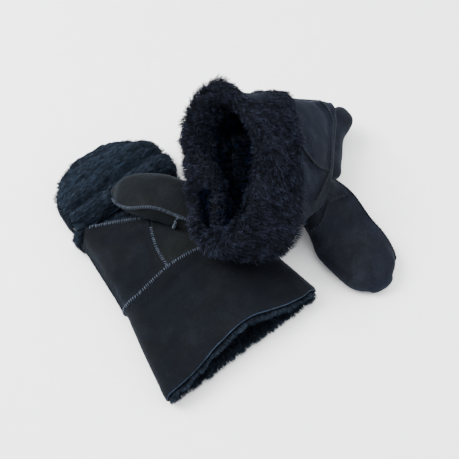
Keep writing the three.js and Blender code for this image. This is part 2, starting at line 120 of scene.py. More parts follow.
# ---------- lofted tubes ----------
# A station is [s, centre, across, up, half width, edge radius, top crown, low crown].
# Round the section v is 0 at the thumb edge, 0.25 upper middle, 0.5 far edge, 0.75 lower middle.
class Tube:
    def __init__(self, stations):
        self.s = np.array([row[0] for row in stations], float)
        v = np.array([[*centre, *across, *up, half - edge, edge, top, low]
                      for _, centre, across, up, half, edge, top, low in stations], float)
        self.v = np.concatenate([[2 * v[0] - v[1]], v, [2 * v[-1] - v[-2]]])
        self.start, self.end = self.s[0], self.s[-1]
        self.lift = lambda s, v, p: 0.0

    def rows(self, s):
        i = np.searchsorted(self.s[1:-1], s, side="left")
        t = ((s - self.s[i]) / (self.s[i + 1] - self.s[i]))[..., None]
        a, b, c, d = (self.v[i + k] for k in range(4))
        m, n = (c - a) / 2, (d - b) / 2
        curve = ((2 * b - 2 * c + m + n) * t + (-3 * b + 3 * c - 2 * m - n)) * t * t + m * t + b
        return np.where((t < 0) | (t > 1), b + (c - b) * t, curve)

    def skin(self, s, v):
        s, v = np.broadcast_arrays(np.asarray(s, float), np.asarray(v, float))
        v = v - np.floor(v)
        r = self.rows(s)
        across = unit(r[..., 3:6])
        up = r[..., 6:9]
        up = unit(up - across * np.sum(up * across, axis=-1, keepdims=True))
        under = v > 0.5
        h = np.where(under, 1 - v, v)
        turn = np.where(h < EDGE, h / EDGE, np.where(h > 0.5 - EDGE, 2 - (0.5 - h) / EDGE, 1.0)) * math.pi / 2
        m = np.clip((0.25 - h) / (0.25 - EDGE), -1, 1)
        core, edge = r[..., 9], r[..., 10]
        side = core * m + edge * np.cos(turn)
        rise = edge * np.sin(turn) + np.where(under, r[..., 12], r[..., 11]) * (1 - m * m) ** 2
        return r[..., :3] + across * side[..., None] + up * np.where(under, -rise, rise)[..., None]

    def normal(self, s, v):
        s, v = np.broadcast_arrays(np.asarray(s, float), np.asarray(v, float))
        along = self.skin(s + 0.4, v) - self.skin(s - 0.4, v)
        return unit(np.cross(along, self.skin(s, v + 0.004) - self.skin(s, v - 0.004)))

    def at(self, s, v, offset=0.0, lifted=True):
        s, v = np.broadcast_arrays(np.asarray(s, float), np.asarray(v, float))
        p, n = self.skin(s, v), self.normal(s, v)
        o = offset + (self.lift(s, v, p) if lifted else 0.0)
        return p + n * np.broadcast_to(o, s.shape)[..., None]


def across_of(v):
    """1 at the thumb edge, -1 at the far edge."""
    v = v - np.floor(v)
    h = np.where(v > 0.5, 1 - v, v)
    return np.clip((0.25 - h) / (0.25 - EDGE), -1, 1)


def bow(v):
    """1 in the middle of a face, 0 at both edges; v lies between 0 and 1."""
    h = np.where(v > 0.5, 1 - v, v)
    return 1 - np.clip((0.25 - h) / (0.25 - EDGE), -1, 1) ** 2


# ---------- materials ----------
def socket(node, name, value):
    node.inputs[name].default_value = value


class Look:
    """A Principled material and the links that feed it."""

    def __init__(self, name, **sockets):
        self.material = bpy.data.materials.new(name)
        self.material.use_nodes = True
        self.nodes, self.links = self.material.node_tree.nodes, self.material.node_tree.links
        self.shader = self.nodes["Principled BSDF"]
        for key, value in sockets.items():
            socket(self.shader, key.replace("_", " "), value)

    def add(self, kind, **sockets):
        node = self.nodes.new("ShaderNode" + kind)
        for key, value in sockets.items():
            socket(node, key.replace("_", " "), value)
        return node

    def link(self, a, out, b, into):
        self.links.new(a.outputs[out], b.inputs[into])

    def noise(self, scale, detail=3.0, roughness=0.55, distortion=0.0, stretch=None):
        place = self.add("TexCoord")
        node = self.add("TexNoise", Scale=scale, Detail=detail, Roughness=roughness, Distortion=distortion)
        if stretch:
            turn = self.add("Mapping", Scale=stretch)
            self.link(place, "Object", turn, "Vector")
            self.link(turn, "Vector", node, "Vector")
        else:
            self.link(place, "Object", node, "Vector")
        return node

    def ramp(self, source, stops, into="Base Color"):
        ramp = self.add("ValToRGB")
        while len(ramp.color_ramp.elements) < len(stops):
            ramp.color_ramp.elements.new(0.5)
        for element, (place, colour) in zip(ramp.color_ramp.elements, stops):
            element.position = place
            element.color = (*colour, 1)
        self.links.new(source, ramp.inputs["Fac"])
        if into:
            self.link(ramp, "Color", self.shader, into)
        return ramp

    def average(self, first, second, share):
        """Two noises as one value."""
        node = self.add("Mix")
        node.data_type = "FLOAT"
        socket(node, 0, share)
        self.links.new(first.outputs["Fac"], node.inputs[2])
        self.links.new(second.outputs["Fac"], node.inputs[3])
        return node.outputs[0]

    def spread(self, source, out, low, high, top):
        """An output's range low to high as 0 to top."""
        node = self.add("MapRange", From_Min=low, From_Max=high, To_Min=0.0, To_Max=top)
        self.link(source, out, node, "Value")
        return node.outputs["Result"]

    def bump(self, height, strength, distance, after=None):
        node = self.add("Bump", Strength=strength, Distance=distance)
        self.links.new(height, node.inputs["Height"])
        if after:
            self.link(after, "Normal", node, "Normal")
        self.link(node, "Normal", self.shader, "Normal")
        return node


def rgb(r, g, b):
    """Display values 0-255 as linear colour."""
    return tuple(((c / 255 + 0.055) / 1.055) ** 2.4 if c > 10 else c / 255 / 12.92 for c in (r, g, b))


def suede_look(name, dark, mid, pale, seed=0.0):
    look = Look(name, Roughness=0.95, Specular_IOR_Level=0.05, Sheen_Weight=0.045, Sheen_Roughness=0.45,
                Sheen_Tint=(0.5, 0.62, 0.85, 1))
    cloud = look.noise(34.0 + seed, 4.0, 0.6, 0.6)
    nap = look.noise(520.0, 3.0, 0.7, 0.4)
    fibre = look.noise(1500.0, 2.0, 0.6, 0.0, stretch=(1.0, 0.45, 1.0))
    edge = look.spread(look.add("NewGeometry"), "Pointiness", 0.5, 0.62, 0.16)
    total = look.add("Math")
    total.operation = "ADD"
    look.links.new(look.average(cloud, nap, 0.42), total.inputs[0])
    look.links.new(edge, total.inputs[1])
    # Bluer and more olive patches over the same light and dark.
    shades = []
    for tint in ((0.85, 0.96, 1.08), (0.95, 1.0, 0.97)):
        stops = [(at, tuple(c * t for c, t in zip(colour, tint))) for at, colour in
                 ((0.36, dark), (0.5, mid), (0.66, pale))]
        shades.append(look.ramp(total.outputs[0], stops, into=None))
    hue = look.add("Mix")
    hue.data_type = "RGBA"
    look.links.new(look.spread(look.noise(30.0 - seed, 2.0, 0.5, 0.5), "Fac", 0.42, 0.58, 1.0), hue.inputs[0])
    look.links.new(shades[0].outputs["Color"], hue.inputs[6])
    look.links.new(shades[1].outputs["Color"], hue.inputs[7])
    look.links.new(hue.outputs[2], look.shader.inputs["Base Color"])
    first = look.bump(nap.outputs["Fac"], 0.5, 0.0007)
    second = look.bump(fibre.outputs["Fac"], 0.35, 0.0003, first)
    look.bump(cloud.outputs["Fac"], 0.3, 0.002, second)
    return look.material


def wool_look(name, dark, mid, pale):
    look = Look(name, Roughness=1.0, Specular_IOR_Level=0.04, Sheen_Weight=0.04, Sheen_Roughness=0.6,
                Sheen_Tint=(0.5, 0.65, 0.9, 1))
    curl = look.noise(260.0, 4.0, 0.7, 1.2)
    lock = look.noise(70.0, 3.0, 0.6, 0.8)
    look.ramp(look.average(curl, lock, 0.5), [(0.36, dark), (0.5, mid), (0.64, pale)])
    first = look.bump(curl.outputs["Fac"], 0.9, 0.0016)
    look.bump(lock.outputs["Fac"], 0.7, 0.003, first)
    return look.material


def thread_look(name, dark, pale):
    look = Look(name, Roughness=0.75, Specular_IOR_Level=0.15, Sheen_Weight=0.1, Sheen_Roughness=0.4)
    fluff = look.noise(900.0, 3.0, 0.6)
    look.ramp(fluff.outputs["Fac"], [(0.35, dark), (0.62, pale)])
    twist = look.noise(2600.0, 1.0, 0.5, 0.0, stretch=(1.0, 0.3, 1.0))
    look.bump(twist.outputs["Fac"], 0.5, 0.00015)
    return look.material


def hair_look(name, colour, gloss=0.08, sheen=0.03):
    return Look(name, Base_Color=(*colour, 1), Roughness=0.75, Specular_IOR_Level=gloss, Sheen_Weight=sheen,
                Sheen_Roughness=0.5, Sheen_Tint=(0.5, 0.65, 0.9, 1)).material


SUEDE_COOL = suede_look("suede", rgb(10, 11, 14), rgb(13, 14, 17), rgb(18, 19, 24))
SUEDE_OLIVE = suede_look("suede_olive", rgb(13, 14, 15), rgb(17, 18, 19), rgb(23, 24, 26), 3.0)
SUEDE_PALE = suede_look("suede_left", rgb(14, 15, 19), rgb(19, 20, 26), rgb(26, 28, 35), 9.0)
SUEDE_EDGE = suede_look("suede_raw_edge", rgb(15, 19, 25), rgb(26, 32, 41), rgb(43, 51, 63), 7.0)
SUEDE_SEAM = suede_look("suede_seam_lips", rgb(9, 10, 13), rgb(14, 16, 21), rgb(24, 28, 35), 5.0)
# Near-black wool under the strands and inside the mittens: painted shade in the depth of the pile.
WOOL_PAINTED_SHADE = wool_look("wool_underlayer_painted_shade", rgb(2, 3, 5), rgb(5, 6, 10), rgb(10, 12, 18))
WOOL_CAP = wool_look("wool_cap_underlayer", rgb(9, 13, 18), rgb(18, 24, 33), rgb(29, 38, 49))
THREAD_PALE = thread_look("thread_pale", rgb(40, 46, 55), rgb(88, 98, 113))
THREAD_DARK = thread_look("thread_dark", rgb(14, 16, 21), rgb(36, 41, 50))
# In each set of strand looks the first, darkest one paints shade deep in the pile; the silver one is the wool's own
# tone.
HAIR = [hair_look("wool_hair_root_painted_shade", rgb(4, 5, 8)), hair_look("wool_hair_mid", rgb(12, 14, 23)),
        hair_look("wool_hair_tip", rgb(25, 29, 43)), hair_look("wool_hair_silver", rgb(48, 53, 72))]
# Darker copies of the wool's strands, without gloss or sheen, for the groove and the inside of the mouth: painted shade
# where the fold and the hand shadow the wool.
HAIR_PAINTED_SHADE = [hair_look("inner_hair_root_painted_shade", rgb(1, 1, 2), 0.01, 0.0),
             hair_look("inner_hair_mid_painted_shade", rgb(4, 10, 22), 0.02, 0.0),
             hair_look("inner_hair_tip_painted_shade", rgb(8, 17, 36), 0.02, 0.0),
             hair_look("inner_hair_silver_painted_shade", rgb(14, 26, 50), 0.02, 0.0)]
HAIR_CAP = [hair_look("cap_hair_root_painted_shade", rgb(13, 18, 25)), hair_look("cap_hair_mid", rgb(25, 32, 42)),
            hair_look("cap_hair_tip", rgb(36, 46, 59)), hair_look("cap_hair_silver", rgb(56, 66, 81))]


# ---------- meshes ----------
def piece(name, points, faces, body, materials, replaces=(), index=None):
    mesh = bpy.data.meshes.new(name)
    points = np.array(points, float)
    points[..., 2] = np.maximum(points[..., 2], 0.0)
    mesh.from_pydata(metres(points).tolist(), [], faces if isinstance(faces, list) else faces.tolist())
    for material in materials:
        mesh.materials.append(material)
    mesh.shade_smooth()
    if index is not None:
        mesh.polygons.foreach_set("material_index", np.asarray(index, dtype=np.int32))
    obj = bpy.data.objects.new(name, mesh)
    bpy.context.scene.collection.objects.link(obj)
    if body:
        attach(obj, body)
    if replaces:
        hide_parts(*replaces)
    return obj


def grid(ns, nv, closed=False, base=0):
    i, j = lattice(np.arange(ns - 1), np.arange(nv if closed else nv - 1))
    k = (j + 1) % nv
    row, above = base + i * nv, base + (i + 1) * nv
    return np.stack([row + j, above + j, above + k, row + k], -1).reshape(-1, 4)


def outward(points, faces):
    """Faces turned so that the closed mesh has a positive volume."""
    tris = np.concatenate([faces[:, [0, 1, 2]], faces[:, [0, 2, 3]]])
    a, b, c = (points[tris[:, k]] for k in range(3))
    return faces if np.sum(a * np.cross(b, c)) > 0 else faces[:, ::-1]


def shell(outer, inner, closed=False):
    """A closed sheet between two grids of points."""
    ns, nv = outer.shape[:2]
    n = ns * nv
    parts = [grid(ns, nv, closed), grid(ns, nv, closed, n)[:, ::-1]]
    ring = np.arange(nv if closed else nv - 1)
    nxt = (ring + 1) % nv
    for row in (0, ns - 1):
        q = np.stack([row * nv + ring, row * nv + nxt, n + row * nv + nxt, n + row * nv + ring], -1)
        parts.append(q if row == 0 else q[:, ::-1])
    if not closed:
        line = np.arange(ns - 1) * nv
        for col in (0, nv - 1):
            q = np.stack([line + col, line + nv + col, n + line + nv + col, n + line + col], -1)
            parts.append(q[:, ::-1] if col == 0 else q)
    points = np.concatenate([outer.reshape(-1, 3), inner.reshape(-1, 3)])
    return points, outward(points, np.concatenate(parts))


def layer(tube, s, v, top, low, lifted=True):
    """A closed ring of material between two offsets from a tube's skin."""
    return shell(tube.at(s, v, top, lifted), tube.at(s, v, low, lifted), closed=True)


def value(f, x):
    return f(x) if callable(f) else np.full_like(x, float(f))


def panel_grid(s0, s1, v0, v1, ns, nv):
    """Places of a panel whose ends depend on v and whose sides depend on s."""
    t, u = lattice(np.linspace(0, 1, ns), np.linspace(0, 1, nv))
    start = np.full_like(t, 0.28)
    s = value(s0, start) * (1 - t) + value(s1, start) * t
    for _ in range(4):
        v = value(v0, s) * (1 - u) + value(v1, s) * u
        s = value(s0, v) * (1 - t) + value(s1, v) * t
    return s, v


def hide(name, tube, s0, s1, v0, v1, body, replaces=(), look=SUEDE_COOL, ns=70, nv=90):
    s, v = panel_grid(s0, s1, v0, v1, ns, nv)
    # The cut edges of a hide are a little rounded.
    t, u = lattice(np.linspace(0, 1, ns), np.linspace(0, 1, nv))
    edge = np.minimum(np.minimum(t, 1 - t) * ns, np.minimum(u, 1 - u) * nv)
    tuck = 0.5 * np.exp(-edge)
    points, faces = shell(tube.at(s, v, -tuck), tube.at(s, v, -SUEDE + tuck * 0.3))
    return piece(name, points, faces, body, [look], replaces)


TIP_ROWS = 7


def tip_rows(tube, ns, nv, s0, offset, reach):
    """A tube from s0 to its end, closed by a rounded tip."""
    S, V = lattice(np.concatenate([np.linspace(s0, tube.end, ns), np.full(TIP_ROWS, tube.end)]), around(nv))
    P = tube.at(S, V, offset)
    centre = P[ns - 1].mean(axis=0)
    along = unit(tube.rows(np.array(tube.end))[:3] - tube.rows(np.array(tube.end - 3.0))[:3])
    for k in range(TIP_ROWS):
        q = (k + 1) / TIP_ROWS * math.pi / 2
        P[ns + k] = centre + (P[ns - 1] - centre) * max(math.cos(q), 0.02) + along * reach * math.sin(q)
    return P


def closed_hide(name, tube, body, replaces, look, s0=0.0, ns=70, nv=96, reach=4.0):
    """The hide of a thumb or a cap, closed at its tip."""
    outer, inner = (tip_rows(tube, ns, nv, s0, -thick, reach - thick) for thick in (0.0, SUEDE))
    points, faces = shell(outer, inner, closed=True)
    return piece(name, points, faces, body, [look], replaces)


# ---------- overcast seams ----------
def resample(points, step):
    d = np.concatenate([[0], np.cumsum(np.linalg.norm(np.diff(points, axis=0), axis=1))])
    n = max(int(d[-1] / step), 3)
    t = np.linspace(0, d[-1], n + 1)
    return np.stack([np.interp(t, d, points[:, k]) for k in range(3)], -1)


def sweep(path, normal, section):
    """Sections [side, up] carried along a path; returns rings of points."""
    along = unit(np.gradient(path, axis=0))
    up = unit(normal - along * np.sum(normal * along, axis=1, keepdims=True))
    side = np.cross(along, up)
    return path[:, None] + side[:, None] * section[..., 0:1] + up[:, None] * section[..., 1:2]


def capped(rings):
    """Rings of points as a closed tube."""
    ns, nv = rings.shape[:2]
    points = np.concatenate([rings.reshape(-1, 3), rings[:1].mean(axis=1), rings[-1:].mean(axis=1)])
    faces = [list(q) for q in grid(ns, nv, True)[:, ::-1]]
    a, b = ns * nv, ns * nv + 1
    for j in range(nv):
        k = (j + 1) % nv
        faces.append([j, k, a])
        faces.append([(ns - 1) * nv + k, (ns - 1) * nv + j, b])
    return points, faces


def seam_line(tube, s, v, steps=60):
    t = np.linspace(0, 1, steps)
    s, v = s(t), v(t)
    return tube.at(s, v, 0.3, lifted=False), tube.normal(s, v)


SEAM_STEP, SEAM_PITCH, THREAD_FAT = 0.8, 2.15, 0.23


def overcast(name, line, body, replaces, dark=True, radius=0.95):
    """Two lips of hide standing up from the skin, whipped over with dark or pale thread."""
    points, normals = line
    path = resample(points, SEAM_STEP)
    here, there = np.linspace(0, 1, len(path)), np.linspace(0, 1, len(points))
    normal = unit(np.stack([np.interp(here, there, normals[:, k]) for k in range(3)], -1))
    wobble = perlin(path * 0.11 + 3.3) * 0.35
    path = path + normal * (radius * 0.55 + wobble[:, None] * 0.4)
    count = np.arange(len(path))
    angle = np.linspace(0, 2 * math.pi, 14, endpoint=False)
    notch = 1 - 0.3 * np.exp(-((angle - math.pi / 2) / 0.38) ** 2)
    gather = 1 + 0.05 * np.sin(count * SEAM_STEP * 2 * math.pi / SEAM_PITCH)[:, None]
    size = radius * (1 + 0.18 * perlin(path * 0.45)[:, None]) * notch[None] * gather
    taper = np.minimum(1, np.minimum(count + 1, count[::-1] + 1) / 3.0)[:, None]
    section = np.stack([np.cos(angle) * size * 0.95 * taper, np.sin(angle) * size * 1.1 * taper], -1)
    ring_points, ring_faces = capped(sweep(path, normal, section))
    piece(name, ring_points, ring_faces, body, [SUEDE_SEAM], replaces)
    stitches(name + "_stitches", path, normal, radius, body, dark)


def stitches(name, path, normal, radius, body, dark):
    """Single stitches: arcs of thread across the seam, each a little out of place."""
    length = np.concatenate([[0], np.cumsum(np.linalg.norm(np.diff(path, axis=0), axis=1))])
    along = unit(np.gradient(path, axis=0))
    rng = np.random.RandomState(len(name) * 7 + 1)
    all_points, all_faces, base = [], [], 0
    ring = np.linspace(0, 2 * math.pi, 6, endpoint=False)
    q = np.linspace(-0.32, math.pi + 0.32, 9)
    r = radius * 1.12 + 0.16
    slant = np.linspace(-SEAM_PITCH * 0.3, SEAM_PITCH * 0.3, 9)
    swell = THREAD_FAT * np.array([0.5, 0.85, 1, 1.05, 1.08, 1.05, 1, 0.85, 0.5])
    for place in np.arange(SEAM_PITCH * 0.7, length[-1] - SEAM_PITCH * 0.5, SEAM_PITCH):
        place = place + rng.uniform(-0.18, 0.18) * SEAM_PITCH
        at, a, n = (np.array([np.interp(place, length, line[:, c]) for c in range(3)])
                    for line in (path, along, normal))
        a, n = unit(a), unit(n)
        n = unit(n - a * np.dot(n, a))
        b = np.cross(a, n)
        arc = at + b * (np.cos(q) * r * 1.02)[:, None] + n * (np.sin(q) * r * 1.08 - 0.05)[:, None]
        arc = arc + a * (slant + rng.uniform(-0.1, 0.1))[:, None]
        tangent = unit(np.gradient(arc, axis=0))
        out = unit(np.cross(tangent, a))
        side = np.cross(tangent, out)
        fat = swell * rng.uniform(0.9, 1.15)
        spoke = out[:, None] * np.cos(ring)[None, :, None] + side[:, None] * np.sin(ring)[None, :, None]
        points, faces = capped(arc[:, None] + spoke * fat[:, None, None])
        all_points.append(points)
        all_faces += [[i + base for i in f] for f in faces]
        base += len(points)
    thread, slot = (THREAD_DARK, "dark_thread") if dark else (THREAD_PALE, "pale_thread")
    piece(name, np.concatenate(all_points), all_faces, body, [thread], ())


def near_lines(points, lines):
    """Distance of every point from the nearest of some polylines."""
    tree_points = np.concatenate([resample(line, 2.0) for line in lines])
    flat = points.reshape(-1, 3)
    best = np.full(len(flat), 1e9)
    for k in range(0, len(flat), 4000):
        d = np.linalg.norm(flat[k:k + 4000, None] - tree_points[None], axis=2)
        best[k:k + 4000] = d.min(axis=1)
    return best.reshape(points.shape[:-1])


# ---------- wool ----------
def scatter(surface, a0, a1, b0, b1, count, seed, keep=None, ea=0.4, eb=0.004):
    """Evenly spread places on a surface: roots, normals, the direction of growing a, and a and b themselves."""
    rng = np.random.RandomState(seed)
    a, b = rng.uniform(a0, a1, count * 3), rng.uniform(b0, b1, count * 3)
    A = surface(a + ea, b) - surface(a - ea, b)
    B = surface(a, b + eb) - surface(a, b - eb)
    cross = np.cross(A, B)
    area = np.linalg.norm(cross, axis=1)
    ok = rng.uniform(0, 1, len(a)) < area / np.percentile(area, 99)
    if keep is not None:
        ok &= keep(a, b)
    pick = np.nonzero(ok)[0][:count]
    return surface(a[pick], b[pick]), unit(cross[pick]), unit(A[pick]), a[pick], b[pick]


def fur(name, body, roots, normals, lie, length, seed, looks=HAIR, width=0.42, lean=0.5, wave=0.55, stray=0.2,
        clump=3.6, pull=0.55, silver=0.22):
    """Strands of wool as tapering ribbons of two quads and a triangle."""
    rng = np.random.RandomState(seed)
    n = len(roots)
    length = np.broadcast_to(length, n) * rng.uniform(0.72, 1.18, n) * (1 + 0.25 * perlin(roots / 9.0))
    lean = np.broadcast_to(lean, n)[:, None]
    d = normals * (1 - lean) + lie * lean + swirl(roots / 15.0, 7.0) * wave + swirl(roots / 5.0, 2.0) * wave * 0.5
    d = d + rng.normal(size=(n, 3)) * stray
    d = unit(d + normals * np.clip(0.12 - np.sum(unit(d) * normals, axis=1, keepdims=True), 0, 1))
    tip = roots + d * length[:, None]
    # Locks: each strand's tip leans towards that of the nearest lock.
    locks = max(int(n / (clump * clump * 2.4)), 8)
    heads = rng.choice(n, min(locks, n), replace=False)
    tree = kdtree.KDTree(len(heads))
    for i, h in enumerate(heads):
        tree.insert(Vector(roots[h]), i)
    tree.balance()
    near = np.array([heads[tree.find(Vector(p))[1]] for p in roots])
    tip = tip + (tip[near] - tip) * (pull * rng.uniform(0.4, 1, n))[:, None]
    tip = tip + (lie * 0.25 - normals * 0.10) * length[:, None] * 0.6 * rng.uniform(0.3, 1, n)[:, None]
    bend = roots + (d * 0.5 + normals * 0.22) * length[:, None]
    side = unit(np.cross(tip - roots, rng.normal(size=(n, 3))))
    points = []
    for t, w in ((0.0, 1.0), (0.4, 0.9), (0.75, 0.55)):
        c = roots * (1 - t) ** 2 + bend * 2 * t * (1 - t) + tip * t * t
        half = side * (width * w * 0.5 * rng.uniform(0.8, 1.2, n))[:, None]
        points += [c - half, c + half]
    points.append(tip)
    points = np.stack(points, axis=1)
    points[..., 2] = np.maximum(points[..., 2], WOOL_FLOOR)
    base = (np.arange(n) * 7)[:, None]
    low = base + np.array([0, 1, 3, 2])
    mid = base + np.array([2, 3, 5, 4])
    top = base + np.array([4, 5, 6])
    faces = low.tolist() + mid.tolist() + top.tolist()
    shade = (rng.uniform(0, 1, n) + 0.35 * perlin(roots / 6.0)) < silver
    middle = np.where(rng.uniform(0, 1, n) < 0.5, 1, 0) + shade
    ends = np.where(shade, 3, np.where(rng.uniform(0, 1, n) < 0.6, 2, 1))
    # Root quads, and half the middle quads of plain strands, take the darkest look: painted shade deep in the pile.
    index = np.concatenate([np.zeros(n, int), middle, ends])
    return piece(name, points.reshape(-1, 3), faces, body, looks, (), index)


def all_one(vector, roots):
    return np.tile(vector, (len(roots), 1))


# ---------- the forms ----------
HAND_END = 175.0
right_hand = Tube([
    [0, [0, 0, 12], X, Z, 82, 12, 14, 0],
    [43, [0, 43, 14], X, Z, 75, 14, 9, 0],
    [87, [0, 87, 16], X, Z, 67, 16, 7, 0],
    [131, [0, 131, 17], X, Z, 64, 17, 6, 0],
    [175, [0, 175, 16], X, Z, 61, 16, 5, 0],
])
right_thumb = Tube([
    [0, [46, 107, 22], [0.75, 0.66, 0], [0.5, -0.5, 0.7], 22, 13, 0, 0],
    [20, [38, 120, 38], [0.75, 0.66, 0], [0.3, -0.35, 0.9], 23, 12.5, 0, 0],
    [42, [22, 139, 48], [0.76, 0.65, 0], [0, 0, 1], 23, 13, 1, 0],
    [64, [6, 157, 50], [0.76, 0.65, 0], [-0.1, 0.1, 1], 22, 13, 1, 0],
    [84, [-7, 172, 48], [0.76, 0.65, 0], [-0.1, 0.1, 1], 16, 11, 0, 0],
    [94, [-13, 179, 46], [0.76, 0.65, 0], [-0.1, 0.1, 1], 6, 5, 0, 0],
])
right_cap = Tube([
    [0, [0, 184, 4.4], X, Z, 56, 4.4, 1, 0],
    [10, [0, 194, 11], X, Z, 59, 11, 3, 0],
    [22, [0, 206, 12], X, Z, 59, 12, -1, 0],
    [38, [-1, 222, 13], X, Z, 56, 13, 4, 0],
    [54, [-2, 238, 12], X, Z, 44, 12, 3, 0],
    [66, [-3, 250, 10], X, Z, 27, 10, 1, 0],
    [72, [-4, 256, 7], X, Z, 8, 6, 0, 0],
])
left_hand = Tube([
    [-8, [53.9, 127.4, 91.6], [-0.48, -0.86, -0.15], [0.55, -0.42, 0.72], 69, 28, 4, 0],
    [20, [77.9, 109.4, 82.7], [-0.54, -0.82, -0.16], [0.5, -0.38, 0.78], 68, 26, 4, 0],
    [52, [107.1, 99.8, 70.7], [-0.6, -0.78, -0.17], [0.43, -0.33, 0.84], 70.5, 21, 4, 0],
    [85, [138, 98, 57], [-0.67, -0.73, -0.15], [0.5, -0.36, 0.79], 66, 17, 3, 0],
    [118, [168, 99, 42], [-0.69, -0.72, -0.13], [0.57, -0.43, 0.7], 60, 14, 0, 0],
])
left_thumb = Tube([
    [0, [133, 80, 43], [-0.93, -0.36, 0], [0, -0.45, 0.9], 22, 12, 0, 0],
    [16, [136, 66, 35], [-0.93, -0.36, 0], [0, -0.5, 0.87], 26, 12.5, 0, 0],
    [38, [141, 47, 23], [-0.98, -0.18, 0], [0, -0.42, 0.9], 31, 12.5, 1, 0],
    [62, [140, 25, 14.3], [-1, 0, 0], [0, -0.15, 1], 33, 12.5, 1, 0],
    [86, [138, 1, 12.8], [-1, 0.05, 0], Z, 31, 12.4, 1, 0],
    [108, [136, -20, 12.1], [-1, 0.08, 0], Z, 24.5, 11.8, 0, 0],
    [119, [135.5, -30, 9.8], [-1, 0.1, 0], Z, 13, 8, 0, 0],
])
left_cap = Tube([
    [0, [183, 111, 39], [-0.68, -0.72, -0.13], [0.57, -0.43, 0.7], 37, 12, 0, 0],
    [13, [195.5, 111.5, 31.5], [-0.66, -0.75, -0.1], [0.72, -0.6, 0.45], 42, 10, 1, 0],
    [26, [199, 111.5, 20], [-0.66, -0.75, -0.05], [0.8, -0.65, -0.15], 42, 9, 1, 0],
    [39, [190, 115, 10.9], [-0.66, -0.75, 0], [0.4, -0.3, -1], 37, 9.6, 0, 0],
    [54, [175, 126, 10.3], [-0.68, -0.73, 0], [0, 0, -1], 32, 10, 0, 0],
    [68, [163, 136, 9.9], [-0.7, -0.71, 0], [0, 0, -1], 21, 9.6, 0, 0],
    [75, [157, 140, 8.3], [-0.7, -0.71, 0], [0, 0, -1], 8, 7, 0, 0],
])


# ---------- right mitten ----------
def r_cuff_seam(v):
    return 82 - 3 * across_of(v) + np.where((v >= 0) & (v <= 0.5), 7 * bow(v), 0)


def r_hem(v):
    return np.where(v <= 0.5, 9 * bow(v) ** 2, 0) + 0.8 * perlin(np.stack([v * 26, v * 0 + 4.5, v * 0], -1))


def r_opening(v):
    """The finger opening's edge: on the palm it swings back to the thumb."""
    back = 133
    swing = np.abs(np.sin(math.pi / 2 * np.clip(v - 0.2, 0, 0.3) / 0.3)) ** 1.3
    top = np.where(v < 0.2, back + 27 * (1 - v / 0.2) ** 2, back + (HAND_END - back) * swing)
    low = np.where(v < 0.9, HAND_END, HAND_END - 15 * ((v - 0.9) / 0.1) ** 2)
    return np.where(v > 0.5, low, top)


def r_gusset(s):
    t = np.clip((s - 88) / 50, 0, 1)
    return 0.298 - 0.039 * t + 0.012 * np.sin(math.pi * t)


lines_r = {
    "cuff": seam_line(right_hand, lambda t: r_cuff_seam(-0.05 + 0.6 * t), lambda t: -0.05 + 0.6 * t, 120),
    "gusset": seam_line(right_hand, lambda t: 89 + 43 * t, lambda t: r_gusset(89 + 43 * t)),
    "palm_edge": seam_line(right_hand, lambda t: r_opening(0.25 + 0.17 * t) - 1.5, lambda t: 0.25 + 0.17 * t, 80),
    "side": seam_line(right_hand, lambda t: 85 + 86 * t, lambda t: t * 0 + 0.5),
    "gusset_side": seam_line(right_hand, lambda t: 84 + 72 * t, lambda t: t * 0.0),
    "cuff_side": seam_line(right_hand, lambda t: 1.5 + 76 * t, lambda t: t * 0.0),
}
thumb_line = seam_line(right_thumb, lambda t: 14 + 78 * t,
                       lambda t: 0.43 + 0.035 * smooth(t, 0.1, 0.75) + 0.012 * np.sin(9 * t), 80)
thumb_cross = seam_line(right_thumb, lambda t: 33 + t * 3, lambda t: 0.44 + 0.16 * t, 24)


def pucker(p, lines, rise=0.9, reach=3.0):
    """The hide rises to a seam and is gathered beside it."""
    d = near_lines(p, lines)
    gather = 0.5 + 0.5 * perlin(p / 3.2)
    return rise * np.exp(-(d / reach) ** 2) - 0.9 * np.exp(-((d - 6.5) / 3.5) ** 2) * gather


def r_lift(s, v, p):
    w = v - np.floor(v)
    top = np.where(w > 0.5, 0.0, np.sin(math.pi * np.clip(w / 0.5, 0, 1)) ** 0.5)
    soft = 1.7 * perlin(p / 34.0 + 1.3) + 0.8 * perlin(p / 13.0 + 5.1)
    crease = -1.6 * np.exp(-((s - 74 - 6 * perlin(p / 30.0)) / 4.0) ** 2) * smooth(v, 0.06, 0.3)
    roll = 1.6 * np.exp(-((s - 6) / 7.0) ** 2) * np.sin(across_of(v) * 5.5 + 0.6)
    return (soft + crease + roll) * top + pucker(p, [l[0] for l in lines_r.values()]) * np.where(v > 0.52, 0.0, 1.0)


def r_thumb_lift(s, v, p):
    return 0.9 * perlin(p / 19.0 + 2.0) + 0.35 * perlin(p / 6.5) + pucker(p, [thumb_line[0]], 0.9, 2.6)


right_hand.lift, right_thumb.lift = r_lift, r_thumb_lift

R = "right_hand"
slit = 0.0022  # the gap in v between two hides, where a lengthwise seam runs
part = slit * 0.6
r_start = lambda v: r_cuff_seam(v) + SEAM_GAP
hide("right_cuff", right_hand, r_hem, lambda v: r_cuff_seam(v) - SEAM_GAP, slit, 1 - slit, R, ["right_cuff_panel"],
     nv=190, ns=70)
hide("right_palm", right_hand, r_start, r_opening, lambda s: r_gusset(s) + part, 0.5 - part, R, ["right_palm_panel"],
     nv=70, ns=80)
hide("right_gusset", right_hand, r_start, r_opening, slit, lambda s: r_gusset(s) - part, R, ["right_thumb_gusset"],
     SUEDE_OLIVE, nv=80, ns=70)
hide("right_back", right_hand, r_start, r_opening, 0.5 + part, 1 - part, R, ["right_back_panel"], nv=80, ns=60)
thumb = closed_hide("right_thumb", right_thumb, R, ["right_thumb_front", "right_thumb_back"], SUEDE_OLIVE, s0=2.0)

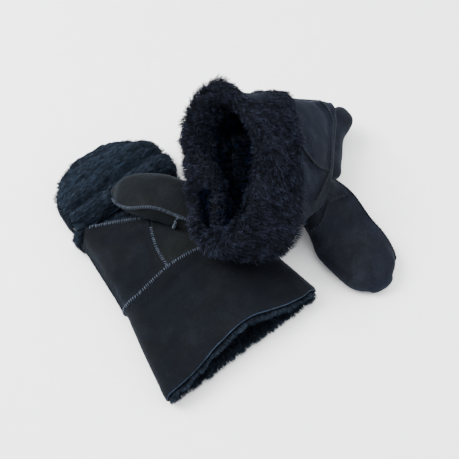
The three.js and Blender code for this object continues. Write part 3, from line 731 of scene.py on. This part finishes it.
# Wool behind the hide, from the hem to the finger opening.
S, V = lattice(np.linspace(0, 1, 90), around(160))
S = (r_hem(V) + 3.5) * (1 - S) + (r_opening(V) - 2.5) * S


def r_wool(s, v, depth):
    """A surface under the hide: level at depth 0, lumpy below."""
    p, n = right_hand.at(s, v), right_hand.normal(s, v)
    bumps = 0.9 * perlin(p / 4.2) + 1.2 * perlin(p / 11.0)
    return p - n * (SUEDE + GAP + depth + bumps * (depth > 1))[..., None]


points, faces = shell(r_wool(S, V, np.full_like(S, 0.0)), r_wool(S, V, np.full_like(S, 4.5)), closed=True)
piece("right_lining", points, faces, R, [WOOL_PAINTED_SHADE],
      ["right_cuff_lining", "right_hand_lining", "right_thumb_lining"])

# Wool that shows at the wrist's mouth.
inner = lambda s, v: right_hand.at(s, v, -SUEDE - GAP - 3.2)
roots, normals, along, _, _ = scatter(inner, -2.0, 26.0, 0.0, 1.0, 9000, 11, keep=lambda s, v: s > r_hem(v) + 0.5)
fur("right_mouth_wool", R, roots, -normals, -along, 6.5, 12, HAIR_CAP, lean=0.55, silver=0.08)
edge_ring = lambda k, v: right_hand.at(r_hem(v) + 1.0, v, -SUEDE - 0.3 - k)
roots, _, along, _, _ = scatter(edge_ring, 0.0, 6.0, 0.0, 1.0, 5000, 13, ea=0.2)
fur("right_mouth_fringe", R, roots, all_one([0.0, -1.0, 0.15], roots), -along * 0.2 + np.array([0, -1.0, -0.1]),
    6.0, 14, HAIR_CAP, lean=0.4, silver=0.15)

# Wool along the palm edge and the rest of the finger opening.
rim = lambda k, v: right_hand.at(r_opening(v) - 1.5, v, -SUEDE - 0.3 - k)
roots = scatter(rim, 0.0, 6.5, 0.0, 1.0, 5200, 15, ea=0.2)[0]
fur("right_opening_wool", R, roots, all_one([0.0, 1.0, 0.1], roots), all_one([0.2, 1.0, -0.3], roots),
    5.5, 16, HAIR_CAP, lean=0.4, silver=0.1)
# At the far corner of the palm the wool rolls out over the hide.
corner = lambda s, v: right_hand.at(s, v, -0.4)
roots, normals, _, _, _ = scatter(corner, 160.0, 176.0, 0.40, 0.535, 2600, 17,
                                  keep=lambda s, v: s > 176 - 120 * (v - 0.405))
fur("right_corner_wool", R, roots, normals, all_one([-0.75, 0.5, 0.1], roots), 7.0, 18, HAIR_CAP,
    lean=0.55, wave=0.4, silver=0.12)

# Seams, raised and whipped over: pale thread where the photo shows it.
overcast("right_seam_cuff", lines_r["cuff"], R, ["right_cuff_seam"], dark=False)
overcast("right_seam_gusset", lines_r["gusset"], R, ["right_gusset_seam"], dark=False)
overcast("right_seam_palm_edge", lines_r["palm_edge"], R, ["right_palm_edge_seam"], dark=False, radius=1.1)
for seam in ("side", "gusset_side", "cuff_side"):
    overcast("right_seam_" + seam, lines_r[seam], R, ["right_" + seam + "_seam"])
overcast("right_seam_thumb_base", thumb_cross, R, [], dark=False, radius=1.0)
overcast("right_seam_thumb", thumb_line, R, ["right_thumb_seam"], dark=False, radius=1.1)


def raw_edge(name, tube, s, body, fat, offset=-1.0, lifted=True):
    """The cut edge of the hide, paler and a little fibrous."""
    count, sides = 420, 8
    v = around(count)
    path, n = tube.at(s(v), v, offset, lifted), tube.normal(s(v), v)
    angle = np.linspace(0, 2 * math.pi, sides, endpoint=False)
    along = unit(np.roll(path, -1, axis=0) - np.roll(path, 1, axis=0))
    side = np.cross(along, n)
    size = fat * (1 + 0.35 * perlin(path / 1.7))
    spoke = n[:, None] * (np.cos(angle) * 1.15)[None, :, None] + side[:, None] * (np.sin(angle) * 0.6)[None, :, None]
    rings = path[:, None] + spoke * size[:, None, None]
    rings[..., 2] = np.maximum(rings[..., 2], 0.05)
    faces = grid(count + 1, sides, True)
    faces = np.where(faces >= count * sides, faces - count * sides, faces)
    points = rings.reshape(-1, 3)
    piece(name, points, outward(points, faces), body, [SUEDE_EDGE])


raw_edge("right_hem_edge", right_hand, r_hem, R, 0.75)

# ---------- right cap, opened out flat with its wool up ----------
C = "right_cap"


def cap_folds(s, v, p):
    """Soft rolls across the cap, on its upper face."""
    top = np.where(v > 0.5, 0.0, np.sin(math.pi * np.clip(v / 0.5, 0, 1)) ** 0.4)
    w = 0.9 * perlin(p / 26.0 + 9.0)
    x = p[..., 0]
    wave1 = np.sin((s + 0.10 * x + 5 * w) / 15.0 * 2 * math.pi * 0.62 + 2.2)
    wave2 = np.sin((s + 0.16 * x + 7 * w) / 6.0 * 2 * math.pi * 0.5)
    streak = perlin(np.stack([x / 26.0, p[..., 1] / 3.4 - x / 22.0, p[..., 2] / 9.0], -1))
    trough = -5.5 * np.exp(-((s - 22 - 0.06 * x) / 3.6) ** 2)
    return (1.3 * wave1 + 0.5 * wave2 + 1.5 * streak + trough) * top


right_cap.lift = cap_folds
S, V = lattice(np.linspace(0, right_cap.end, 100), around(150))
P = right_cap.at(S, V, -np.where(V > 0.5, SUEDE + GAP, 0.0))
P[..., 2] = np.maximum(P[..., 2], SUEDE + GAP)
points, faces = capped(P[:, ::-1])
pad = piece("right_cap_pad", points, faces, C, [WOOL_CAP], ["right_cap_lining"])
hide("right_cap_back", right_cap, -1.0, right_cap.end + 1.0, 0.5, 1.0, C, ["right_cap_back_panel"], nv=80, ns=60)

# The hide's rim stands up a little round the cap.
s_rim = np.linspace(8, right_cap.end, 60)
rim_path = resample(np.concatenate([right_cap.at(s_rim, 0.5, 1.6, lifted=False),
                                    right_cap.at(s_rim[::-1], 0.0, 1.6, lifted=False)]), 1.2)
rim_path[:, 2] = 5.0 + 1.2 * perlin(rim_path / 14.0)
angle = np.linspace(0, 2 * math.pi, 12, endpoint=False)
middle = rim_path.mean(axis=0)
rim_normal = unit((rim_path - middle) * np.array([1, 1, 0]) + 1e-6)
section = np.stack([np.cos(angle) * 4.2, np.sin(angle) * 1.5], -1)[None] * np.ones((len(rim_path), 1, 1))
points, faces = capped(sweep(rim_path, rim_normal, section))
piece("right_cap_rim", points, faces, C, [SUEDE_COOL], ["right_cap_front_panel"])

surface = lambda s, v: right_cap.at(s, v, -1.2)
roots, normals = scatter(surface, 1.0, right_cap.end, 0.0, 0.5, 26000, 21)[:2]
over = np.array([1.0, 0.18, 0.0])
lie = unit(over - normals * np.sum(normals * over, axis=1, keepdims=True))
fur("right_cap_wool", C, roots, normals, lie, 6.0, 22, HAIR_CAP, width=0.5, lean=0.84, wave=0.22, stray=0.09,
    clump=2.4, pull=0.4, silver=0.17)
both = []
for side_v, seed in ((0.5, 23), (0.0, 24)):
    edge = lambda k, s: right_cap.at(s, side_v + 0 * s, -k, lifted=False)
    both.append(scatter(edge, 0.0, 5.0, 6.0, right_cap.end, 900, seed, ea=0.2, eb=0.3)[0])
both = np.concatenate(both)
away = unit((both - np.array([0, 200.0, 0])) * np.array([1, 1, 0]))
fur("right_cap_edge_wool", C, both + np.array([0, 0, 3.0]), away + np.array([0, 0, 0.35]), away, 5.2, 25, HAIR_CAP,
    lean=0.4, silver=0.2)

# The knuckle seam, and the strip of hide and wool that joins the hand to the cap.
knuckle = np.stack([np.linspace(-54, 54, 80), np.full(80, 179.5), np.full(80, 1.1)], -1)
overcast("right_seam_knuckle", (knuckle, all_one([0, 0, 1.0], knuckle)), R, ["right_knuckle_seam"], radius=1.05)
x, y = lattice(np.linspace(-56, 56, 90), np.linspace(172, 188, 24))
top = np.stack([x, y, 4.6 + 0.9 * perlin(np.stack([x / 9, y / 6, x * 0], -1))], -1)
low = np.stack([x, y, x * 0 + 0.15], -1)
points, faces = shell(top, low)
strip = piece("right_fold_strip", points, faces, None, [WOOL_CAP], ())
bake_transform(strip)
surface = lambda y, x: np.stack([x, y, y * 0 + 4.2], -1)
roots = scatter(surface, 172, 189, -56, 56, 4200, 27, eb=0.4)[0]
strip_wool = fur("right_fold_wool", None, roots, all_one([0, 0, 1.0], roots), all_one([1.0, 0.3, 0], roots),
                 5.0, 28, HAIR_CAP, lean=0.6, silver=0.12)
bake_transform(strip_wool)

# ---------- left mitten ----------
L = "left_hand"
l_cuff = CUFF_LENGTH - TURN_BACK
l_gusset = lambda s: 0.186 + 0.085 * (np.clip(114 - s, 0, 80) / 44) ** 1.8
l_end = left_hand.end - 1
l_back = lambda v: np.where(v <= 0.5, l_end, l_end - 10 * np.sin(math.pi * (v - 0.5) * 2))
l_knuckle = lambda v: np.minimum(left_hand.end - 1.5, 123 - 24 * ((v - 0.27) / 0.16) ** 2)
lines_l = {
    "gusset": seam_line(left_hand, lambda t: 56 + 58 * t, lambda t: l_gusset(56 + 58 * t)),
    "side": seam_line(left_hand, lambda t: 58 + 58 * t, lambda t: t * 0 + 0.5),
    "knuckle": seam_line(left_hand, lambda t: l_knuckle(0.1 + 0.34 * t), lambda t: 0.1 + 0.34 * t, 90),
    "gusset_side": seam_line(left_hand, lambda t: 58 + 54 * t, lambda t: t * 0.0),
}
l_thumb_line = seam_line(left_thumb, lambda t: 8 + 98 * t, lambda t: 0.5 - 0.07 * np.sin(math.pi * t), 90)
l_thumb_cross = seam_line(left_thumb, lambda t: 28.5 + 3.5 * np.cos(math.pi * 2 * t), lambda t: 0.02 + 0.40 * t)
l_cap_line = seam_line(left_cap, lambda t: 6 + 66 * t, lambda t: t * 0 + 0.5, 70)
l_cap_line2 = seam_line(left_cap, lambda t: 6 + 66 * t, lambda t: t * 0.0, 70)


def l_lift(s, v, p):
    soft = 1.8 * perlin(p / 30.0 + 4.3) + 0.8 * perlin(p / 12.0 + 1.1)
    return soft + pucker(p, [l[0] for l in lines_l.values()])


def l_thumb_lift(s, v, p):
    creases = pucker(p, [l_thumb_line[0], l_thumb_cross[0]], 0.8, 2.6)
    return (1.0 * perlin(p / 22.0 + 6.0) + 0.4 * perlin(p / 8.0) + creases) * smooth(p[..., 2], 3.0, 10.0)


def l_cap_lift(s, v, p):
    """A lobe out past the hand at the far edge, and a dip beside it."""
    lobe = 11 * np.exp(-((v - 0.36) / 0.07) ** 2 - ((s - 19) / 10) ** 2)
    dip = 5 * np.exp(-((v - 0.49) / 0.05) ** 2 - ((s - 8) / 10) ** 2)
    creases = 1.0 * perlin(p / 20.0 + 8.0) + pucker(p, [l_cap_line[0], l_cap_line2[0]], 0.7, 2.6)
    return lobe - dip + creases * smooth(p[..., 2], 3.0, 10.0)


left_hand.lift, left_thumb.lift, left_cap.lift = l_lift, l_thumb_lift, l_cap_lift

hide("left_back", left_hand, l_cuff, l_back, lambda s: l_gusset(s) + part, 0.5 - part, L, ["left_back_panel"],
     SUEDE_PALE, nv=80, ns=80)
hide("left_gusset", left_hand, l_cuff, l_back, slit, lambda s: l_gusset(s) - part, L, ["left_thumb_gusset"],
     SUEDE_PALE, nv=90, ns=80)
hide("left_palm", left_hand, l_cuff, l_back, 0.5 + part, 1 - part, L, ["left_palm_panel"], SUEDE_PALE, nv=90, ns=60)
thumb = closed_hide("left_thumb", left_thumb, L, ["left_thumb_front", "left_thumb_back"], SUEDE_PALE, reach=5.0)
S, V = lattice(np.linspace(l_cuff, left_hand.end - 3, 60), around(120))
points, faces = layer(left_hand, S, V, -SUEDE - GAP, -SUEDE - GAP - WOOL)
piece("left_lining", points, faces, L, [WOOL_PAINTED_SHADE], ["left_hand_lining", "left_thumb_lining"])
for seam in ("gusset", "side", "gusset_side"):
    overcast("left_seam_" + seam, lines_l[seam], L, ["left_" + seam + "_seam"])
overcast("left_seam_thumb_base", l_thumb_cross, L, [], radius=1.1)
overcast("left_seam_thumb", l_thumb_line, L, ["left_thumb_seam"])

# The turned-back cuff: hide inside the fold, wool round it.
LEG, RADIUS, OUTER = 1.5, 8.2, 53.0  # the fold's middle above the skin, its radius, and the outer leg's length
FOLD_V = [0, 0.04, 0.08, 0.12, 0.17, 0.23, 0.3, 0.36, 0.4, 0.44, 0.48, 0.52]
FOLD_S = [4, 6, 11, 16, 20, 22, 23, 21.5, 18, 12, 6, 4]


def fold_at(v):
    """Where the cuff turns back: on the back of the hand the fold dips towards the wrist."""
    return np.interp(v - np.floor(v), FOLD_V, FOLD_S)


def fold(q, v, radius):
    """Length and offset at a distance q along the fold's path; q is 0 where the bend starts on the inner leg."""
    arc = math.pi * radius
    turn = np.clip(q / arc, 0, 1) * math.pi
    reach = (TURN_BACK - 1 - fold_at(v)) / OUTER
    s = fold_at(v) - radius * np.sin(turn) + np.maximum(-q, 0) + np.maximum(q - arc, 0) * reach
    return s, LEG - radius * np.cos(turn)


def in_groove(s, v):
    """1 in the hollow beside the slack fold in the mouth."""
    return np.exp(-((s - 5.5) / 4.5) ** 2) * np.exp(-((v - 0.87) / 0.07) ** 4)


def mouth(s, v):
    """How far the wool bulges into the mouth: a slack fold of the lower face lies across it, with a hollow beside
    it and a bulge at the far corner."""
    v = v - np.floor(v)
    along = s - (3.0 + 117.0 * (v - 0.72))
    roll = np.exp(-(along / 7.5) ** 2) * smooth(v, 0.66, 0.74) * smooth(-v, -0.97, -0.90) * 19.0
    groove = -4.5 * in_groove(s, v)
    corner = np.exp(-((v - 0.56) / 0.035) ** 2) * 5.0 * smooth(s, -8, 4)
    return roll + groove + corner


def far_edge(s, v):
    """1 along the cuff's far edge, where the pile is pressed thin."""
    v = v - np.floor(v)
    return np.exp(-((v - 0.46) / 0.075) ** 2) * smooth(s, 4.0, 16.0)


def cuff_wool(q, v, radius):
    """The pile's surface along the fold's path: thinner on the upper inner face, peaked at the far corner."""
    s, offset = fold(q, v, radius)
    inner = smooth(-q, -radius * 1.6, 8.0)
    w = v - np.floor(v)
    thin = np.where(w < 0.5, 2.2 * inner * bow(w), 0.0)
    peak = 6.0 * np.exp(-((w - 0.495) / 0.028) ** 2 - ((s - 0.5) / 7.0) ** 2)
    peak = peak - 4.0 * np.exp(-((w - 0.465) / 0.03) ** 2 - ((s - 22) / 9.0) ** 2)
    offset = offset - inner * mouth(s, v) + thin + np.where(q > radius, peak, 0.0)
    offset = offset - np.where(q > radius, 4.6 * far_edge(s, v), 0.0)
    p = left_hand.at(s, v, offset, lifted=False)
    n = left_hand.normal(s, v)
    lump = 1.3 * perlin(p / 13.0) + 0.9 * perlin(p / 5.5)
    return p + n * (lump * np.where(q > math.pi * radius * 0.5, 1.0 - 0.7 * far_edge(s, v), -1.0))[..., None]


def hem_wave(v):
    return 0.6 * perlin(np.stack([v * 30, v * 0, v * 0], -1))


arc = math.pi * RADIUS
path = np.concatenate([np.linspace(-l_cuff + 4, 0, 24), np.linspace(1, arc - 1, 22), np.linspace(arc, arc + OUTER, 54)])
Q, V = lattice(path, around(170))
half = RADIUS / 2  # the pile's under side turns on half the radius
s_in, o_in = fold(np.where(Q <= 0, Q, np.where(Q >= arc, Q - arc + math.pi * half, Q / 2)), V, half)
points, faces = shell(cuff_wool(Q, V, RADIUS), left_hand.at(s_in, V, o_in, lifted=False), closed=True)
cuff = piece("left_cuff_wool_base", points, faces, L, [WOOL_PAINTED_SHADE], ["left_cuff_lining"])
T, V = lattice(np.linspace(0, 1, 60), around(150))
S = (fold_at(V) - 2) * (1 - T) + TURN_BACK * T + hem_wave(V)
points, faces = layer(left_hand, S, V, 3.4, 1.6, lifted=False)
piece("left_cuff_hide", points, faces, L, [SUEDE_COOL], ["left_cuff_panel"])
raw_edge("left_hem_edge", left_hand, lambda v: TURN_BACK + 0.8 + hem_wave(v), L, 1.15, offset=3.0, lifted=False)

surface = lambda q, v: cuff_wool(q, v, RADIUS - 0.3)


def combed(a, b, along):
    """The pile's lie: along the cuff, and brushed round it over the back of the hand."""
    ring = unit(surface(a, b - 0.004) - surface(a, b + 0.004))
    w = np.where(b < 0.5, smooth(b, 0.04, 0.16), 0.0)[:, None]
    return unit(along * (1 - 0.6 * w) + ring * w)


roots, normals, along, a, b = scatter(surface, arc * 0.35, arc + OUTER, 0.0, 1.0, 33000, 31)
pressed = far_edge(fold(a, b, RADIUS)[0], b)
fur("left_cuff_fur", L, roots, normals, combed(a, b, along), 8.5 - 4.0 * pressed, 32, lean=0.62 + 0.2 * pressed,
    wave=0.6, stray=0.28, clump=3.0, pull=0.35, silver=0.36)
roots, normals, along, a, b = scatter(surface, -14.0, arc * 0.45, 0.0, 1.0, 15000, 33)
upper = np.where(b < 0.5, bow(b), 0.0)
# Strands in the hollow beside the fold are shorter and take the darker copies: painted shade in the groove.
in_shaded_groove = in_groove(fold(a, b, RADIUS)[0], b) * (a < 6) > 0.35
fur("left_groove_fur", L, roots[in_shaded_groove], normals[in_shaded_groove], along[in_shaded_groove], 4.0, 38, HAIR_PAINTED_SHADE, width=0.5, silver=0.1)
roots, normals, along, upper = roots[~in_shaded_groove], normals[~in_shaded_groove], along[~in_shaded_groove], upper[~in_shaded_groove]
tangled = dict(wave=0.75, stray=0.26, clump=4.4, pull=0.6)
fur("left_mouth_fur", L, roots, normals, along, 6.3 - 2.5 * upper, 34, width=0.45, lean=0.45 + 0.3 * upper,
    silver=0.24, **{**tangled, "wave": 0.7})
# The wool inside the fold and inside the hand takes the darker copies: painted shade inside the mouth.
roots, normals, along = scatter(surface, -25.0, -11.0, 0.0, 1.0, 7000, 35)[:3]
fur("left_inner_fur", L, roots, normals, along, 6.0, 36, HAIR_PAINTED_SHADE, width=0.5, lean=0.45, silver=0.1, **tangled)
inside = lambda s, v: left_hand.at(s, v, -SUEDE - GAP - WOOL + 0.4)
roots, normals, along = scatter(inside, l_cuff - 2, 84.0, 0.0, 1.0, 8000, 39)[:3]
fur("left_deep_fur", L, roots, -normals, along, 6.5, 40, HAIR_PAINTED_SHADE, width=0.6, lean=0.4, silver=0.05, **tangled)

# ---------- left cap, closed and curling under ----------
D = "left_cap"
cap_hide = closed_hide("left_cap_hide", left_cap, D, ["left_cap_back_panel", "left_cap_front_panel"], SUEDE_PALE, ns=80)
S, V = lattice(np.linspace(0.5, left_cap.end - 5, 50), around(90))
points, faces = layer(left_cap, S, V, -SUEDE - GAP, -SUEDE - GAP - 3.5)
piece("left_cap_wool", points, faces, D, [WOOL_PAINTED_SHADE], ["left_cap_lining"])
overcast("left_seam_cap", l_cap_line, D, ["left_cap_seam"])
overcast("left_seam_cap_thumb_side", l_cap_line2, D, ["left_cap_thumb_side_seam"])

# The knuckle seam and the hide that joins the cap to the back of the hand.
V = np.linspace(0.02, 0.48, 70)
a_line, b_line = left_hand.at(left_hand.end - 3.0, V), left_cap.at(3.0, V)
T = np.linspace(0, 1, 18)[:, None, None]
up = left_hand.normal(left_hand.end, V)
outer = a_line * (1 - T) + b_line * T + up * (np.sin(T * math.pi) * 2.5)
points, faces = shell(outer, outer - up * SUEDE)
strip = piece("left_knuckle_strip", points, faces, None, [SUEDE_PALE], ())
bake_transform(strip)
overcast("left_seam_knuckle", lines_l["knuckle"], L, [])

# ---------- floor, light, camera ----------
mesh = bpy.data.meshes.new("floor")
mesh.from_pydata([(-3, -3, 0), (3, -3, 0), (3, 3, 0), (-3, 3, 0)], [], [(0, 1, 2, 3)])  # 6 m square
floor = bpy.data.objects.new("floor", mesh)
look = Look("pale_floor", Roughness=0.9, Specular_IOR_Level=0.1)
grain = look.noise(60.0, 2.0)
look.ramp(grain.outputs["Fac"], [(0.3, (0.93, 0.93, 0.93)), (0.7, (0.96, 0.96, 0.96))])
mesh.materials.append(look.material)
bpy.context.scene.collection.objects.link(floor)
floor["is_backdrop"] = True

world = bpy.data.worlds.new("studio")
world.use_nodes = True
background = world.node_tree.nodes["Background"]
socket(background, "Color", (0.95, 0.97, 1.0, 1))
socket(background, "Strength", 1.3)
bpy.context.scene.world = world


def area(name, place, aim, size, power):
    """A square lamp: place and aim in metres, its side in metres and its power in watts."""
    lamp = bpy.data.lights.new(name, "AREA")
    lamp.size, lamp.energy = size, power
    obj = bpy.data.objects.new(name, lamp)
    obj.location = place
    obj.rotation_euler = (Vector(aim) - Vector(place)).to_track_quat("-Z", "Y").to_euler()
    bpy.context.scene.collection.objects.link(obj)


area("key", (-0.7, 0.7, 1.3), (0, 0, 0.03), 0.8, 64)
area("fill", (1.0, -0.8, 1.0), (0, 0, 0.03), 1.2, 19)
area("top", (0.1, 0.1, 1.6), (0, 0, 0), 1.0, 19)

camera = bpy.data.cameras.new("camera")
camera.lens, camera.sensor_width, camera.sensor_height = 50, 36, 36
eye = bpy.data.objects.new("camera", camera)
azimuth, elevation, distance = math.radians(-37.2), math.radians(60), 0.6
target = Vector(metres([56, 95, 20]))
level = math.cos(elevation)
back = Vector((math.sin(azimuth) * level, -math.cos(azimuth) * level, math.sin(elevation)))
eye.location = target + back * distance
eye.rotation_euler = back.to_track_quat("Z", "Y").to_euler()
bpy.context.scene.collection.objects.link(eye)
bpy.context.scene.camera = eye

{"cad": [list(map(float, corner)) for corner in cad_box], "visual": [list(map(float, corner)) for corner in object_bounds()]}
